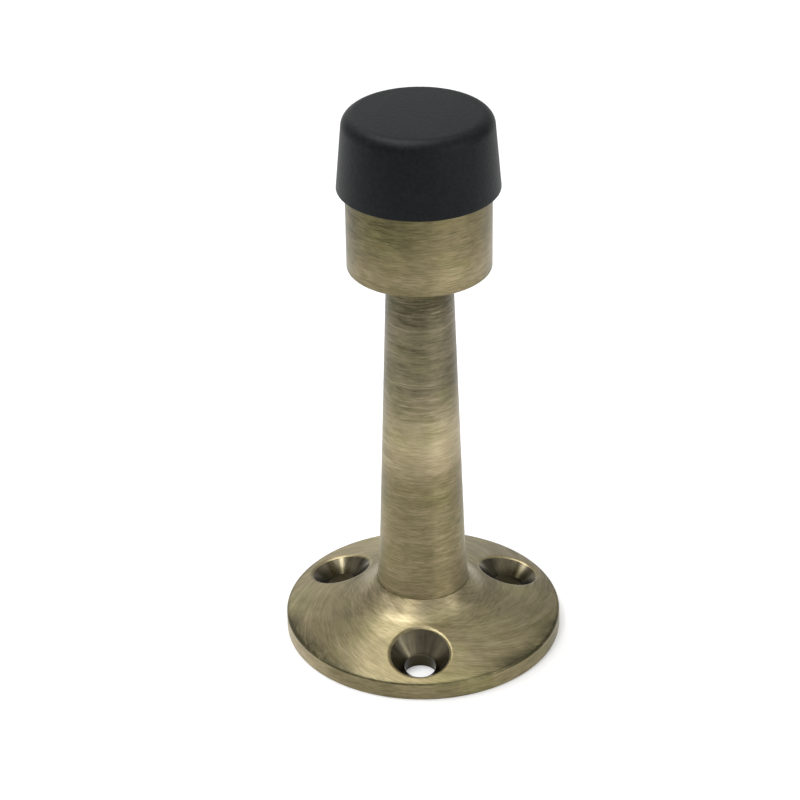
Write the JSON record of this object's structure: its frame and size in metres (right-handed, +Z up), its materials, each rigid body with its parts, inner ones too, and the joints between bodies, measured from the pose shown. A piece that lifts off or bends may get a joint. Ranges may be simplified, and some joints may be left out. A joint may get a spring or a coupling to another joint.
{
  "type": "wall door stop",
  "caption": "Wall door stop: round flared rose with splayed countersunk screw holes, tapered stem with a cylindrical head, and a rubber buffer plugged into the head.",
  "frame": {"origin": "centre of the rose's flat back, the face that goes against the wall and that the object stands on", "axes": "+Z up the stem from the rose to the buffer, -Y towards one of the screw holes"},
  "size_m": [0.038, 0.038, 0.0767],
  "materials": {
    "antique_brass": "brushed antique brass, darkened and lacquered",
    "black_rubber": "matte moulded rubber",
    "zinc_steel": "zinc plated"
  },
  "bodies": {
    "root": {"base_rose": "antique_brass", "stem_post": "antique_brass", "rubber_buffer": "black_rubber", "stem_screw": "zinc_steel"}
  },
  "joints": []
}
